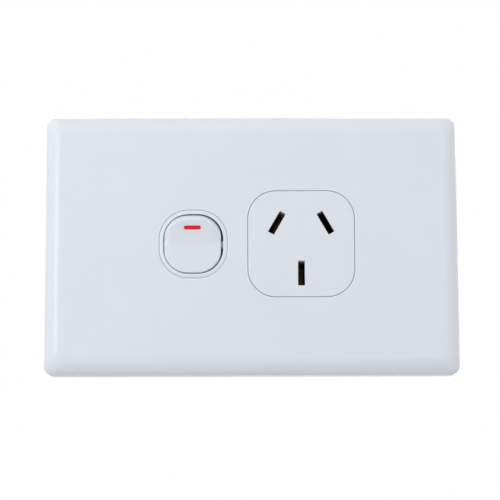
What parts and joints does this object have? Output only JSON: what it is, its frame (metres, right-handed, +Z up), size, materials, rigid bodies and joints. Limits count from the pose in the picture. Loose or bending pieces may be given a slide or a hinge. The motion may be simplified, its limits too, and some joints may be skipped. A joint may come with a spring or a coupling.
{
  "type": "single switched power point",
  "caption": "Horizontal wall plate with a rocker switch and a flat-pin socket, clipped over a mounting plate with a rear terminal housing.",
  "frame": {"origin": "on the wall plane, midway between the two fixing slots, at the cover plate's centre", "axes": "+X to the right as the front is seen, +Y into the wall, +Z up"},
  "size_m": [0.1182, 0.0333, 0.0746],
  "materials": {
    "white_plastic": "gloss",
    "rocker_plastic": "gloss",
    "red_plastic": "gloss",
    "housing_plastic": "satin",
    "nylon": "satin",
    "copper_alloy": "satin",
    "terminal_brass": "satin",
    "screw_brass": "satin",
    "contact_silver": "satin",
    "plated_steel": "satin",
    "spring_steel": "satin"
  },
  "bodies": {
    "base": {"cover_plate": "white_plastic", "mounting_plate": "white_plastic", "rear_housing": "housing_plastic", "housing_screws": "plated_steel", "fixed_contact_tip": "contact_silver", "switch_strap": "copper_alloy", "active_contact": "copper_alloy", "neutral_contact": "copper_alloy", "earth_contact": "copper_alloy", "active_terminal": "terminal_brass", "loop_terminal": "terminal_brass", "earth_terminal": "terminal_brass", "neutral_terminal": "terminal_brass"},
    "rocker": {"rocker": "rocker_plastic", "indicator_strip": "red_plastic", "plunger_spring": "spring_steel"},
    "plunger": {"plunger": "nylon"},
    "moving_contact": {"moving_contact": "copper_alloy", "moving_contact_tip": "contact_silver"},
    "active_terminal_screw": {"active_terminal_screw": "screw_brass"},
    "loop_terminal_screw": {"loop_terminal_screw": "screw_brass"},
    "earth_terminal_screw": {"earth_terminal_screw": "screw_brass"},
    "neutral_terminal_screw": {"neutral_terminal_screw": "screw_brass"}
  },
  "joints": [
    {"name": "rocker_tilt", "type": "hinge", "parent": "base", "child": "rocker", "pos_m": [-0.0166, -0.0065, 0], "axis": [1, 0, 0], "range_deg": [-15, 0]},
    {"name": "plunger_slide", "type": "slide", "parent": "rocker", "child": "plunger", "axis": [0, -0.9914, -0.1305], "range_m": [0, 0.0008], "stiffness_N_per_m": 300, "springref_m": -0.002, "deforming": ["plunger_spring"]},
    {"name": "contact_rock", "type": "hinge", "parent": "base", "child": "moving_contact", "pos_m": [-0.0166, 0.0073, 0], "axis": [1, 0, 0], "range_deg": [0, 14]},
    {"name": "active_screw_clamp", "type": "slide", "parent": "base", "child": "active_terminal_screw", "axis": [0, 0, 1], "range_m": [0, 0.003]},
    {"name": "loop_screw_clamp", "type": "slide", "parent": "base", "child": "loop_terminal_screw", "axis": [0, 0, 1], "range_m": [0, 0.003]},
    {"name": "earth_screw_clamp", "type": "slide", "parent": "base", "child": "earth_terminal_screw", "axis": [0, 0, 1], "range_m": [0, 0.003]},
    {"name": "neutral_screw_clamp", "type": "slide", "parent": "base", "child": "neutral_terminal_screw", "axis": [0, 0, 1], "range_m": [0, 0.003]}
  ],
  "couplings": [
    {"joint": "contact_rock", "follows": "rocker_tilt", "ratio": -0.93333}
  ]
}
